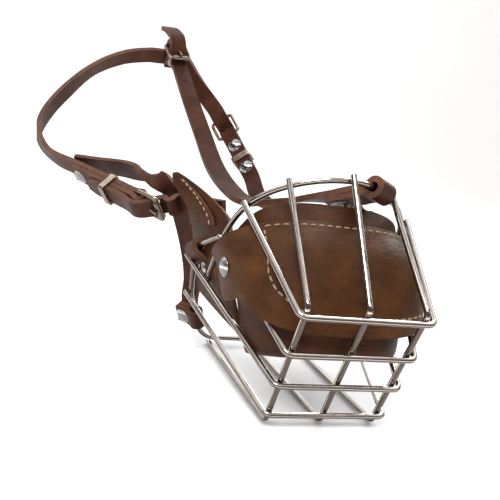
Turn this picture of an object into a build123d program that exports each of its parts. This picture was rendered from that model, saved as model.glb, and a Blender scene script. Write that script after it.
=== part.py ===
"""Basket muzzle: a welded wire cage with a leather nose lining and a strap harness.

Frame: +Z up, the nose of the cage faces -Y, the harness trails towards +Y, and X = 0 is the
plane of symmetry of the cage.  The cage stands on its three bottom wires, which touch Z = 0.
Millimetres throughout.
"""

from build123d import *
from math import cos, radians, sin, tan
import os

os.makedirs("parts", exist_ok=True)

# ---------------------------------------------------------------- driving dimensions
WIRE = 3.0                 # diameter of every cage wire
WIRE_R = WIRE / 2
WELD = WIRE + 0.02         # distance between the centre lines of two crossing wires
BEND_R = 4.0               # bend radius on the centre line of a wire

LINING = 2.4               # thickness of the soft lining leather
STRAP_W = 12.0             # width of the harness straps
STRAP_T = 3.2              # thickness of the harness leather
RIVET_D = 10.0             # diameter of a domed rivet cap
RIVET_H = 2.0              # height of a rivet cap
FIT = 0.3                  # air left between soft parts and their neighbours

FRONT_TOP = Vector(0, -79.6, 61.3)      # top band wire, middle of the nose
FRONT_BOTTOM = Vector(0, -56.9, 6.4)    # bottom band wire, middle of the nose

# half width at the nose, place on the nose from top to bottom (0 to 1), rear end of the arm
BANDS = {
    "band_wire_1_top": (32.2, 0.0, (45.4, -21.6, 100.6)),
    "band_wire_2": (31.8, 0.36, (51.5, -9.6, 81.0)),
    "band_wire_3": (31.8, 0.68, (58.0, 30.4, 62.6)),
    "band_wire_4_bottom": (31.2, 1.0, (52.4, 45.0, 36.6)),
}
SIDE_BAR_END = (57.4, 31.0, 64.9)       # rear end of the bar that the side tab is folded on

BUCKLE_L = 15.0            # base bar to roller bar
BAR_R = 1.3                # radius of the buckle frame wire
ROLLER_R = 2.2
TONGUE_R = 1.0
TONGUE_SLOT = 3.4          # width of the slots that a tongue moves in
KEEPER_W = 4.5

NOSE_ARCH = [(49.7, 11.4, 52.2), (48.5, -7.6, 81.0), (42.4, -21.0, 100.0), (27.5, -30.5, 111.4), (0, -39.9, 117.9)]
RIM_TOP = (54.5, 27.0, 69.0)
RIM_SIDE = (48.9, 43.6, 36.0)
RIM_CORNER = (36.0, 56.0, WIRE_R + WELD)


# ---------------------------------------------------------------- helpers
def flip(point):
    """The same place on the other side of the plane of symmetry."""
    return (-point[0], point[1], point[2])


def finish(part, name):
    """Label a finished piece and write its STEP file."""
    part.label = name
    export_step(part, f"parts/{name}.step")


def bent_route(points, radius):
    """Straight runs between the points, with an arc of the given radius at every corner."""
    corners = [Vector(*point) for point in points]
    start = corners[0]
    for before, corner, after in zip(corners, corners[1:], corners[2:]):
        back = (before - corner).normalized()
        ahead = (after - corner).normalized()
        half = radians(back.get_angle(ahead) / 2)
        middle = (back + ahead).normalized()
        arc_start = corner + back * (radius / tan(half))
        arc_end = corner + ahead * (radius / tan(half))
        arc_top = corner + middle * (radius / sin(half) - radius)
        Line(start, arc_start)
        ThreePointArc(arc_start, arc_top, arc_end)
        start = arc_end
    Line(start, corners[-1])


def bent_wire(name, points, radius=BEND_R):
    """A round wire bent to the given corners."""
    with BuildPart() as wire:
        with BuildLine() as route:
            bent_route(points, radius)
        with BuildSketch(Plane(route.line @ 0, z_dir=route.line % 0)):
            Circle(WIRE_R)
        sweep()
    finish(wire.part, name)


def strap_planes(stations):
    """Section planes of a strap: x across its width, y through its thickness."""
    places = [Vector(*station[0]) for station in stations]
    planes = []
    for i, station in enumerate(stations):
        ahead = places[min(i + 1, len(places) - 1)] - places[max(i - 1, 0)]
        ahead = ahead.normalized()
        width = Vector(*station[1])
        width = (width - ahead * width.dot(ahead)).normalized()
        planes.append(Plane(places[i], x_dir=width, z_dir=ahead))
    return planes


def eased(stations, steps=4):
    """Stations of (place, direction, sizes...) with a smooth curve of more stations between them."""
    finer = []
    last = len(stations) - 1
    for i in range(last):
        before = Vector(*stations[max(i - 1, 0)][0])
        start = Vector(*stations[i][0])
        end = Vector(*stations[i + 1][0])
        after = Vector(*stations[min(i + 2, last)][0])
        span = (end - start).length
        leave = (end - before).normalized() * span
        arrive = (after - start).normalized() * span
        across_start = Vector(*stations[i][1]).normalized()
        across_end = Vector(*stations[i + 1][1]).normalized()
        for step in range(steps):
            t = step / steps
            place = start * (1 + 2 * t) * (1 - t) ** 2 + leave * t * (1 - t) ** 2
            place = place + end * t * t * (3 - 2 * t) - arrive * t * t * (1 - t)
            across = across_start * (1 - t) + across_end * t
            sizes = [x * (1 - t) + y * t for x, y in zip(stations[i][2:], stations[i + 1][2:])]
            finer.append((tuple(place), tuple(across), *sizes))
    place, across, *sizes = stations[last]
    finer.append((tuple(Vector(*place)), tuple(Vector(*across)), *sizes))
    return finer


def lay_strap(stations, width=STRAP_W, thickness=STRAP_T, steps=4):
    """Add a strap through the stations to the part being built."""
    sections = []
    for plane in strap_planes(eased(stations, steps)):
        with BuildSketch(plane) as section:
            Rectangle(width, thickness)
        sections.append(section.sketch)
    loft(sections, ruled=True)


def strap(name, stations, width=STRAP_W, thickness=STRAP_T):
    """A flat strap that runs and twists through the stations (place, direction of its width)."""
    with BuildPart() as leather:
        lay_strap(stations, width, thickness)
    finish(leather.part, name)


def arch_outline(half_width, rise, leg, inset, shoulder):
    """An upturned U with its feet at y = -leg, drawn inset by the given amount."""
    w = half_width - inset
    h = rise - inset
    side = [(w, -leg), (w * 0.985, h * 0.3), (w * shoulder, h * 0.74), (w * shoulder * 0.6, h * 0.955)]
    other = [(-x, y) for x, y in reversed(side)]
    return Spline(*side, (0, h), *other)


def arch_section(plane, half_width, rise, leg, shoulder=0.84, thickness=LINING):
    """A leather arch of even thickness in the given plane."""
    with BuildSketch(plane) as section:
        with BuildLine():
            outer = arch_outline(half_width, rise, leg, 0, shoulder)
            inner = arch_outline(half_width, rise, leg, thickness, shoulder)
            Line(outer @ 0, inner @ 0)
            Line(outer @ 1, inner @ 1)
        make_face()
    return section.sketch


def rivet_caps(name, places, height=RIVET_H):
    """Domed rivet caps, one solid each; a place is (centre of the base, outward direction)."""
    with BuildPart() as caps:
        for centre, outward in places:
            with BuildSketch(Plane(centre, z_dir=outward)) as base:
                Circle(RIVET_D / 2)
            extrude(base.sketch, amount=height, taper=30)
    finish(caps.part, name)


def local_plane(seat, place, x_dir=(1, 0, 0), z_dir=(0, 0, 1)):
    """A plane stated in the coordinates of a seat plane."""
    origin = seat.from_local_coords(Vector(*place))
    across = seat.from_local_coords(Vector(*x_dir)) - seat.origin
    out = seat.from_local_coords(Vector(*z_dir)) - seat.origin
    return Plane(origin, x_dir=across, z_dir=out)


def folded_end(seat, leg, inner_leg, fold_at=-BUCKLE_L / 2, core=BAR_R + 0.15, parting=0.05):
    """A strap end folded round a bar at y = fold_at; parting is half the gap between its legs."""
    side = local_plane(seat, (-STRAP_W / 2, fold_at, 0), x_dir=(0, 1, 0), z_dir=(1, 0, 0))
    bend = core + STRAP_T / 2
    flat = STRAP_T / 2 + parting
    with BuildSketch(side) as profile:
        with BuildLine():
            if bend > flat:
                lean = radians(107)
                top = (bend * cos(lean), bend * sin(lean))
                meet = top[0] - (top[1] - flat) / tan(lean - radians(90))
                Line((-leg, flat), (meet, flat))
                Line((meet, flat), top)
                ThreePointArc(top, (bend, 0), (top[0], -top[1]))
                Line((top[0], -top[1]), (meet, -flat))
                Line((meet, -flat), (-inner_leg, -flat))
            else:
                Line((-leg, flat), (0, flat))
                ThreePointArc((0, flat), (flat, 0), (0, -flat))
                Line((0, -flat), (-inner_leg, -flat))
        trace(line_width=STRAP_T)
    extrude(profile.sketch, amount=STRAP_W)


def tongue_slot(seat):
    """The slot in a folded strap end that the tongue moves in."""
    with BuildSketch(local_plane(seat, (0, -BUCKLE_L / 2 + 1, -2 * STRAP_T))) as slot:
        Rectangle(TONGUE_SLOT, 10)
    extrude(slot.sketch, amount=4 * STRAP_T, mode=Mode.SUBTRACT)


def tongue_hole(seat):
    """The oval hole in a billet that the tongue passes through."""
    with BuildSketch(local_plane(seat, (0, -0.5, -8))) as hole:
        SlotOverall(9.0, TONGUE_SLOT, rotation=90)
    extrude(hole.sketch, amount=16, mode=Mode.SUBTRACT)


def billet_stations(seat, tip, lead=7):
    """A billet's way under the roller, over the base bar and along the folded strap."""
    across = tuple(seat.x_dir)
    under = -(ROLLER_R + 1.5 + STRAP_T / 2)
    over = BAR_R + 0.15 + STRAP_T + 0.5 + STRAP_T / 2
    lying = 1.5 * STRAP_T + 0.4
    rise = (under + over) / 2 + 1.8
    places = [(BUCKLE_L / 2 + lead, under), (BUCKLE_L / 2, under), (0, rise), (-BUCKLE_L / 2, over)]
    places += [(-BUCKLE_L / 2 - 8, lying + 0.4), (-BUCKLE_L / 2 - 14, lying), (tip, lying)]
    return [(tuple(seat.from_local_coords(Vector(0, y, z))), across) for y, z in places]


def buckle(side, seat, keeper_at):
    """A roller buckle with its frame, roller and tongue in a seat plane, and a keeper if it has one.

    In the seat plane x is across the strap, y points from the base bar to the roller and
    z points away from the wearer.
    """
    half_width = STRAP_W / 2 + 2.6
    # The frame is one bent wire whose two ends meet under the strap, in the middle of the base bar.
    corners = [
        (0.05, -BUCKLE_L / 2),
        (half_width, -BUCKLE_L / 2),
        (half_width, BUCKLE_L / 2),
        (-half_width, BUCKLE_L / 2),
        (-half_width, -BUCKLE_L / 2),
        (-0.05, -BUCKLE_L / 2),
    ]
    with BuildPart() as frame:
        with BuildLine() as outline:
            bent_route([tuple(seat.from_local_coords(Vector(x, y, 0))) for x, y in corners], 2.0)
        with BuildSketch(Plane(outline.line @ 0, z_dir=outline.line % 0)):
            Circle(BAR_R)
        sweep()
    finish(frame.part, f"{side}_buckle_frame")

    with BuildPart() as roller:
        with BuildSketch(local_plane(seat, (-STRAP_W / 2, BUCKLE_L / 2, 0), x_dir=(0, 1, 0), z_dir=(1, 0, 0))):
            Circle(ROLLER_R)
            Circle(BAR_R + 0.08, mode=Mode.SUBTRACT)
        extrude(amount=STRAP_W)
    finish(roller.part, f"{side}_buckle_roller")

    with BuildPart() as tongue:
        with BuildSketch(local_plane(seat, (-1.1, -BUCKLE_L / 2, 0), x_dir=(0, 1, 0), z_dir=(1, 0, 0))):
            Circle(BAR_R + 1.2)
        extrude(amount=2.2)
        with BuildLine(local_plane(seat, (0, 0, 0), x_dir=(0, 1, 0), z_dir=(1, 0, 0))) as pin:
            Line((-BUCKLE_L / 2 + 1.5, 1.0), (BUCKLE_L / 2 + 1.6, ROLLER_R + TONGUE_R + 0.45))
        with BuildSketch(Plane(pin.line @ 0, z_dir=pin.line % 0)):
            Circle(TONGUE_R)
        sweep()
        with BuildSketch(local_plane(seat, (-3, -BUCKLE_L / 2, 0), x_dir=(0, 1, 0), z_dir=(1, 0, 0))):
            Circle(BAR_R + 0.08)
        extrude(amount=6, mode=Mode.SUBTRACT)
    finish(tongue.part, f"{side}_buckle_tongue")

    if keeper_at is None:
        return
    low = -STRAP_T - FIT - 0.05
    high = 2 * STRAP_T + 2 * FIT + 0.6
    with BuildPart() as keeper:
        with BuildSketch(
            local_plane(seat, (0, keeper_at - KEEPER_W / 2, (low + high) / 2), x_dir=(-1, 0, 0), z_dir=(0, 1, 0))
        ):
            RectangleRounded(STRAP_W + 2 * FIT + 2.4, high - low + 2.4, 1.6)
            RectangleRounded(STRAP_W + 2 * FIT, high - low, 0.6, mode=Mode.SUBTRACT)
        extrude(amount=KEEPER_W)
    finish(keeper.part, f"{side}_keeper")


# ---------------------------------------------------------------- cage: band wires
nose_down = FRONT_BOTTOM - FRONT_TOP
for name, (half_width, place, rear) in BANDS.items():
    nose = FRONT_TOP + nose_down * place
    corner = (half_width, nose.Y, nose.Z)
    if name == "band_wire_2":
        ends = [SIDE_BAR_END, rear]
    else:
        ends = [rear]
    bent_wire(name, ends + [corner, flip(corner)] + [flip(end) for end in reversed(ends)])


# ---------------------------------------------------------------- cage: wires from nose arch to rim
# The wires run inside the band wires on the nose, one wire diameter behind them, and turn
# under the chin into the bottom wires that the cage stands on.
inward = Vector(0, -nose_down.Z, nose_down.Y).normalized() * -WELD
inner_top = FRONT_TOP - inward
slope = nose_down.Y / nose_down.Z
BEND_Z = 65.5
bend_y = inner_top.Y + (BEND_Z - inner_top.Z) * slope
chin_y = inner_top.Y + (WIRE_R - inner_top.Z) * slope
SPINES = {
    "spine_wire_left": ((-27.5, -31.0, 114.7), -29.0, -28.5, (-30.0, 58.0, WIRE_R)),
    "spine_wire_centre": ((0, -41.7, 120.9), 0, 0, (0, 58.0, WIRE_R)),
    "spine_wire_right": ((27.5, -31.0, 114.7), 29.0, 28.5, (30.0, 58.0, WIRE_R)),
}
for name, (arch_end, top_x, chin_x, rear) in SPINES.items():
    bent_wire(name, [arch_end, (top_x, bend_y, BEND_Z), (chin_x, chin_y, WIRE_R), rear])

with BuildPart() as nose_arch_wire:
    with BuildLine() as route:
        Spline(*NOSE_ARCH, *[flip(point) for point in reversed(NOSE_ARCH[:-1])])
    with BuildSketch(Plane(route.line @ 0, z_dir=route.line % 0)):
        Circle(WIRE_R)
    sweep()
finish(nose_arch_wire.part, "nose_arch_wire")
nose_arch_wire_route = route.line

rim = [RIM_TOP, RIM_SIDE, RIM_CORNER]
bent_wire("throat_rim_wire", rim + [flip(point) for point in reversed(rim)], radius=14.0)


# ---------------------------------------------------------------- nose leather
# The lining is a hood over the nose: arched sections in three planes, from under the nose
# arch down to the front of the cage.
def tilted(y, z, rise_y, rise_z):
    """A plane through (0, y, z) with x along X and its own y towards (rise_y, rise_z)."""
    rise = Vector(0, rise_y, rise_z).normalized()
    return Plane((0, y, z), x_dir=(1, 0, 0), z_dir=Vector(1, 0, 0).cross(rise))


with BuildPart() as nose_liner:
    loft(
        [
            arch_section(tilted(-9, 80, -21, 26), 44.6, 32.0, 0),
            arch_section(tilted(-20, 55, -34, 24), 42.0, 40.0, 0),
            arch_section(tilted(-31, 31, -34, 13), 37.6, 36.0, 0),
        ]
    )
finish(nose_liner.part, "nose_liner")

with BuildPart() as nose_patch:
    loft(
        [
            arch_section(tilted(-13, 77, -24, 20), 54.6, 31.5, 8, shoulder=0.74),
            arch_section(tilted(-22, 70, -36, 8), 52.0, 38.0, 6, shoulder=0.8),
            arch_section(tilted(-30, 62, -37, -12), 49.0, 40.8, 4),
        ]
    )
finish(nose_patch.part, "nose_patch")


# ---------------------------------------------------------------- cheek leather
# Stations of the right pad from its lower edge up to the ear: centre, direction of its width, width.
CHEEK = [
    ((42.5, 5, 37), (0.14, 0.96, 0.22), 66),
    ((46.4, 8, 53), (0.12, 0.98, 0.12), 56),
    ((47.0, 12, 73), (0.12, 0.96, -0.2), 36),
    ((52.0, 16, 86), (0.36, 0.9, -0.12), 42),
]
EAR_LEFT = [
    ((-50.9, 13.2, 86.2), (-0.36, 0.9, -0.12), 35.5),
    ((-55.2, 19.8, 93.5), (-0.5, 0.85, -0.08), 19.5),
    ((-61.5, 32.5, 100), (-0.55, 0.83, -0.05), 14.4),
    ((-66.5, 41.5, 106), (-0.6, 0.8, 0), 8),
]
EAR_RIGHT = [
    ((52.0, 26, 93), (0.36, 0.9, -0.1), 27),
    ((48.5, 31, 98), (0.3, 0.94, -0.1), 19),
    ((45.0, 35.0, 102), (0.3, 0.94, -0.1), 10),
]


def pad(name, stations, thickness=LINING, shift=0):
    """A sheet of leather through stations of centre, direction of width and width."""
    finer = eased(stations)
    with BuildPart() as leather:
        sections = []
        for plane, (centre, across, width) in zip(strap_planes(finer), finer):
            seat = Plane(plane.origin + plane.y_dir * shift, x_dir=plane.x_dir, z_dir=plane.z_dir)
            with BuildSketch(seat) as section:
                Rectangle(width, thickness)
            sections.append(section.sketch)
        loft(sections, ruled=True)
    finish(leather.part, name)


def flip_stations(stations):
    """The same stations on the other side of the plane of symmetry."""
    return [(flip(centre), flip(across), *rest) for centre, across, *rest in stations]


def narrowed(stations, share):
    """The same stations with a share of their width."""
    return [(centre, across, width * share) for centre, across, width in stations]


cheek_left = flip_stations(CHEEK[:3]) + EAR_LEFT
cheek_right = CHEEK + EAR_RIGHT
pad("cheek_pad_left", cheek_left)
pad("cheek_pad_right", cheek_right)
pad("cheek_facing_left", narrowed(cheek_left[3:6], 0.62), shift=LINING + 0.1)
pad("cheek_facing_right", narrowed(cheek_right[3:6], 0.62), shift=-LINING - 0.1)

# Each side tab is folded over the side bar of the second band wire and hangs inside the
# third one, where a rivet joins it to the cheek pad.
bar_start = Vector(*BANDS["band_wire_2"][2])
bar_ahead = (Vector(*SIDE_BAR_END) - bar_start).normalized()
TAB_W = 13.0
TAB_T = 2.4
TAB_DROP = 19.0
TAB_LEG = -5.2             # the tab's lower leg lies this far out from the bar it hangs on
tab_core = bar_start + bar_ahead * 32.5
tab_up = (Vector(0, 0, 1) - bar_ahead * bar_ahead.Z).normalized()
tab_out = bar_ahead.cross(tab_up)


def side_tab(name, side):
    """A hairpin of leather over the side bar; side is 1 on the right and -1 on the left."""
    core = Vector(tab_core.X * side, tab_core.Y, tab_core.Z)
    ahead = Vector(bar_ahead.X * side, bar_ahead.Y, bar_ahead.Z)
    out = Vector(tab_out.X * side, tab_out.Y, tab_out.Z)
    bend = WIRE_R + 0.15 + TAB_T / 2
    with BuildPart() as tab:
        with BuildSketch(Plane(core - ahead * TAB_W / 2, x_dir=out, z_dir=ahead)):
            with BuildLine():
                up = -side
                Line((-bend, -2.5 * up), (-bend, 0))
                ThreePointArc((-bend, 0), (0, bend * up), (bend, 0))
                Line((bend, 0), (bend, -1.5 * up))
                Line((bend, -1.5 * up), (TAB_LEG, -7 * up))
                Line((TAB_LEG, -7 * up), (TAB_LEG, -TAB_DROP * up))
            trace(line_width=TAB_T)
        extrude(amount=TAB_W)
    finish(tab.part, name)


side_tab("side_tab_right", 1)
side_tab("side_tab_left", -1)


# ---------------------------------------------------------------- harness seats
def seat_plane(centre, to_roller, outward):
    """A buckle's seat: y towards the roller, z away from the wearer."""
    y = Vector(*to_roller).normalized()
    z = Vector(*outward)
    z = (z - y * z.dot(y)).normalized()
    return Plane(centre, x_dir=y.cross(z), z_dir=z)


def on_seat(seat, x, y, z):
    """A place stated in the coordinates of a seat plane."""
    return tuple(seat.from_local_coords(Vector(x, y, z)))


LEFT = seat_plane((-79.0, 48.4, 86.3), (0.585, -0.81, -0.16), (-0.6, -0.43, -0.67))
RIGHT = seat_plane((-9.0, 164, 140), (-0.35, 0.63, 0.69), (0.59, 0.72, -0.36))
CROWN = seat_plane((-48.5, 191.5, 193), (0.2, -0.72, -0.66), (0.05, -0.67, 0.74))
LEFT_LEG = 64.0
RIGHT_LEG = 40.0
INNER = -STRAP_T / 2 - 0.05             # middle of the inner leg of a folded end, in its seat
left_across = tuple(LEFT.x_dir)
right_across = tuple(RIGHT.x_dir)
crown_across = tuple(CROWN.z_dir * -1)

buckle("left", LEFT, -34)
buckle("right", RIGHT, -31)
buckle("crown", CROWN, None)


# ---------------------------------------------------------------- harness straps
# Every strap that leaves the cage is cut near the line y = 30, z = 92, which the harness
# swings about: the cage keeps a short root and the harness has the rest.
with BuildPart() as neck_strap:
    folded_end(LEFT, LEFT_LEG, LEFT_LEG)
    tongue_slot(LEFT)
    lay_strap(
        [
            (on_seat(LEFT, 0, -BUCKLE_L / 2 - LEFT_LEG + 4, INNER), left_across),
            (on_seat(LEFT, 0, -BUCKLE_L / 2 - LEFT_LEG - 4, INNER), left_across),
            ((-137, 131, 104), (0.5, 0.5, -0.7)),
            ((-147.5, 157, 117), (0.03, 0.54, -0.84)),
            ((-144, 173, 131), (0.2, 0.62, -0.76)),
            ((-131, 187, 150), (0.25, 0.66, -0.7)),
            ((-112, 197, 170), (-0.05, 0.75, -0.6)),
            ((-90, 202, 183), (-0.1, 0.72, -0.68)),
            ((-70, 203, 188.5), (-0.08, 0.7, -0.71)),
            *[(on_seat(CROWN, x, -BUCKLE_L / 2, -10.5), crown_across) for x in (9, 6.5, -6.5, -9)],
            ((-29, 190.5, 170), (-0.5, 0.5, -0.7)),
            *billet_stations(RIGHT, -46),
        ]
    )
    tongue_hole(RIGHT)
finish(neck_strap.part, "neck_strap")

# The crown buckle hangs from the neck strap by a short fold: its two legs hold the strap,
# which stands on edge between them.
crown_fold = local_plane(CROWN, (0, -BUCKLE_L / 2, 0), x_dir=(1, 0, 0), z_dir=(0, -1, 0))
with BuildPart() as crown_carrier:
    folded_end(crown_fold, 17.5, 17.5, fold_at=0, core=STRAP_T / 2 + 0.05, parting=STRAP_T / 2 + 0.05)
    with BuildSketch(local_plane(CROWN, (0, -BUCKLE_L / 2 + 1, 1.5))) as slot:
        Rectangle(TONGUE_SLOT, 12)
    extrude(slot.sketch, amount=6, mode=Mode.SUBTRACT)
    with BuildSketch(local_plane(CROWN, (0, -BUCKLE_L / 2 - 4, 0), z_dir=(0, 1, 0))) as slot:
        Rectangle(TONGUE_SLOT, 6)
    extrude(slot.sketch, amount=11, mode=Mode.SUBTRACT)
finish(crown_carrier.part, "crown_carrier")

# Forehead strap: folded round the nose arch, then back and up to the crown buckle.
arch_across = Vector(*tuple(nose_arch_wire_route % 0.41))
fold_ahead = Vector(24, -38, 15).normalized()
fold_ahead = (fold_ahead - arch_across * fold_ahead.dot(arch_across)).normalized()
NOSE_FOLD = Plane(nose_arch_wire_route @ 0.41, x_dir=arch_across, z_dir=arch_across.cross(fold_ahead))
with BuildPart() as forehead_loop:
    folded_end(NOSE_FOLD, 22, 28, fold_at=0, core=2.6)
    lay_strap(
        [
            (on_seat(NOSE_FOLD, 0, -18, STRAP_T / 2 + 0.05), tuple(NOSE_FOLD.x_dir)),
            (on_seat(NOSE_FOLD, 0, -26, STRAP_T / 2 + 0.05), tuple(NOSE_FOLD.x_dir)),
            ((-4.0, 7.0, 98.0), (0.84, 0.53, 0.05)),
            ((-16.5, 22.5, 94.6), (0.8, 0.6, 0.1)),
            ((-19.8, 28.0, 94.2), (0.82, 0.55, 0.1)),
        ]
    )
finish(forehead_loop.part, "forehead_loop")

crown_tail = [
    (on_seat(CROWN, 0, -BUCKLE_L / 2 - 8, 5.6), tuple(CROWN.x_dir)),
    (on_seat(CROWN, 0, -BUCKLE_L / 2 - 17, 2.6), tuple(CROWN.x_dir)),
    (on_seat(CROWN, 0, -BUCKLE_L / 2 - 26, -2.5), tuple(CROWN.x_dir)),
]
with BuildPart() as forehead_strap:
    way = [
        ((-21.8, 32.2, 94.4), (-0.84, -0.5, -0.1)),
        ((-27.5, 48.0, 97.6), (-0.9, -0.35, -0.1)),
        ((-33.0, 84.0, 110.0), (-0.95, -0.1, -0.2)),
        ((-36.3, 123.6, 132.7), (-0.96, 0.1, -0.24)),
        ((-41.6, 156.8, 157.7), (-0.97, 0.0, -0.2)),
        *billet_stations(CROWN, 0)[:4],
        *crown_tail,
    ]
    lay_strap(way)
    tongue_hole(CROWN)
finish(forehead_strap.part, "forehead_strap")

# Left cheek strap: a root riveted inside the ear of the pad, then a billet for the left buckle.
strap(
    "left_cheek_root",
    [
        ((-45.0, 11.0, 91.5), (0.1, 0.2, -0.97)),
        ((-50.6, 22.0, 91.0), (0.2, 0.2, -0.95)),
        ((-53.6, 28.6, 90.6), (0.25, 0.2, -0.94)),
    ],
)
with BuildPart() as left_cheek_billet:
    lay_strap(
        [
            ((-55.8, 34.4, 90.6), (0.25, 0.2, -0.94)),
            ((-62.0, 43.0, 90.4), (0.4, 0.35, -0.84)),
            *billet_stations(LEFT, -52, lead=5),
        ]
    )
    tongue_hole(LEFT)
finish(left_cheek_billet.part, "left_cheek_billet")

# Right cheek strap: the same, mirrored, with the buckle's own folded end high on the strap.
strap(
    "right_cheek_root",
    [
        ((41.0, 13.5, 97.9), (-0.64, 0.29, 0.71)),
        ((43.5, 21.0, 97.1), (-0.64, 0.29, 0.71)),
        ((45.8, 28.0, 96.3), (-0.64, 0.29, 0.71)),
    ],
)
with BuildPart() as right_cheek_strap:
    folded_end(RIGHT, RIGHT_LEG, RIGHT_LEG)
    tongue_slot(RIGHT)
    lay_strap(
        [
            (on_seat(RIGHT, 0, -BUCKLE_L / 2 - RIGHT_LEG + 4, INNER), right_across),
            (on_seat(RIGHT, 0, -BUCKLE_L / 2 - RIGHT_LEG - 3, INNER), right_across),
            ((9.4, 107.6, 92.0), (-0.95, 0.1, -0.3)),
            ((28.0, 72.0, 87.0), (-0.88, -0.1, 0.3)),
            ((43.0, 46.0, 93.0), (-0.75, 0.15, 0.6)),
            ((46.0, 32.8, 95.0), (-0.64, 0.29, 0.71)),
        ]
    )
finish(right_cheek_strap.part, "right_cheek_strap")

# Throat strap: riveted to a loop on the rim, up behind the left pad and on to the neck strap.
rim_down = (Vector(*flip(RIM_CORNER)) - Vector(*flip(RIM_SIDE))).normalized()
rim_place = Vector(*flip(RIM_SIDE)) + rim_down * 19.5
fold_ahead = Vector(0.6, -0.8, -0.07)
fold_ahead = (fold_ahead - rim_down * fold_ahead.dot(rim_down)).normalized()
RIM_FOLD = Plane(rim_place, x_dir=rim_down, z_dir=rim_down.cross(fold_ahead))
with BuildPart() as rim_loop:
    folded_end(RIM_FOLD, 14, 14, fold_at=0, core=WIRE_R + 0.2)
finish(rim_loop.part, "rim_loop")

behind_loop = -1.5 * STRAP_T - 0.1
strap(
    "throat_strap_lower",
    [
        (on_seat(RIM_FOLD, 6, -8.5, behind_loop), tuple(RIM_FOLD.y_dir)),
        (on_seat(RIM_FOLD, -7, -8.5, behind_loop), tuple(RIM_FOLD.y_dir)),
        ((-46.5, 55.0, 43.0), (0.7, -0.7, 0.0)),
        ((-52.0, 51.5, 63.0), (0.7, -0.7, 0.1)),
        ((-60.0, 50.0, 83.0), (0.6, -0.8, 0.2)),
    ],
)
strap(
    "throat_strap_upper",
    [
        ((-64.8, 51.0, 93.0), (0.6, -0.8, 0.2)),
        ((-72.5, 54.5, 100.0), (0.6, -0.6, 0.4)),
        ((-87.7, 82.8, 103.0), (0.5, 0.2, -0.85)),
        ((-105.2, 106.5, 102.5), (0.55, 0.4, -0.75)),
        ((-120.5, 118.0, 102.0), (0.55, 0.4, -0.75)),
    ],
)


# ---------------------------------------------------------------- rivets
def outer_face(seat, y, layers):
    """A rivet's place on the outside of a strap that lies so many layers above the seat."""
    return (on_seat(seat, 0, y, layers * STRAP_T + 0.05), tuple(seat.z_dir))


def inner_face(seat, y):
    """A rivet's place on the inside of a folded strap end."""
    return (on_seat(seat, 0, y, -STRAP_T - 0.05), tuple(seat.z_dir * -1))


patch_rivet = (51.6, -17.0, 62.5)
patch_rivet_out = (0.97, -0.2, -0.1)
rivet_caps("patch_rivets", [(patch_rivet, patch_rivet_out), (flip(patch_rivet), flip(patch_rivet_out))])

tab_rivet = tab_core + tab_out * (TAB_LEG + TAB_T / 2) - tab_up * 12
tab_rivet = tuple(tab_rivet)
tab_rivets = [(tab_rivet, tuple(tab_out)), (flip(tab_rivet), flip(tuple(tab_out)))]
rivet_caps("side_tab_rivets", tab_rivets, height=1.4)
rivet_caps("forehead_loop_rivet", [inner_face(NOSE_FOLD, -22)])
rivet_caps("neck_strap_rivets", [outer_face(LEFT, -64, 1), inner_face(LEFT, -64)])
rivet_caps("right_strap_rivets", [inner_face(RIGHT, -20), inner_face(RIGHT, -41)])
rim_rivets = [
    (on_seat(RIM_FOLD, 0, -8.5, STRAP_T + 0.05), tuple(RIM_FOLD.z_dir)),
    (on_seat(RIM_FOLD, 0, -8.5, -2 * STRAP_T - 0.1), tuple(RIM_FOLD.z_dir * -1)),
]
rivet_caps("throat_strap_rivets", rim_rivets)
crown_rivets = [
    (on_seat(CROWN, 0, -BUCKLE_L / 2 + 1.5 * STRAP_T + 0.1, -11), tuple(CROWN.y_dir)),
    (on_seat(CROWN, 0, -BUCKLE_L / 2 - 1.5 * STRAP_T - 0.1, -11), tuple(CROWN.y_dir * -1)),
]
rivet_caps("crown_rivets", crown_rivets)
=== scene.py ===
"""Looks of the basket muzzle: chromed wire cage, nose leather, cheek pads and strap harness."""
import random
from math import cos, pi, radians, sin
import bpy
from mathutils import Matrix, Vector


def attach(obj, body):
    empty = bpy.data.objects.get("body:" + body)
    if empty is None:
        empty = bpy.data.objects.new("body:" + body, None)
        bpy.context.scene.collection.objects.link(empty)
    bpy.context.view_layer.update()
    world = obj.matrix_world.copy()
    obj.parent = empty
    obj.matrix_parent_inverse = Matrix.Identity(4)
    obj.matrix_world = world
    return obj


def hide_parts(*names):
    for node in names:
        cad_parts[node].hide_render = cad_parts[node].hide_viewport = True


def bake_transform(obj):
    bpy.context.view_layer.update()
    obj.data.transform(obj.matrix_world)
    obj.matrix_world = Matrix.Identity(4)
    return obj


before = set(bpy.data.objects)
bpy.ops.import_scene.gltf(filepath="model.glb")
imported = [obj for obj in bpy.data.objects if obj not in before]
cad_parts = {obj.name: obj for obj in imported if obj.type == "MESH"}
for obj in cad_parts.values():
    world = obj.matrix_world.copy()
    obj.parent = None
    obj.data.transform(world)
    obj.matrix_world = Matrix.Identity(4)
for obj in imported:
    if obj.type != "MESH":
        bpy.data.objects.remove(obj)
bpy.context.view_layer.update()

rng = random.Random(7)
MM = 0.001
STRAP_W, STRAP_T, LINING = 12.0, 3.2, 2.4
BUCKLE_L, BAR_R, ROLLER_R = 15.0, 1.3, 2.2
WIRE_R = 1.5
TIP_SHAPE = (1, 0.97, 0.86, 0.55)      # shares of the width in the last rows of a strap tip
COLUMN_PITCH = 2.75                    # distance between two columns of the nose patch


# ---------------------------------------------------------------- materials
def new_material(name):
    mat = bpy.data.materials.new(name)
    mat.use_nodes = True
    nodes = mat.node_tree.nodes
    return mat, nodes, mat.node_tree.links, nodes["Principled BSDF"]


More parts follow.
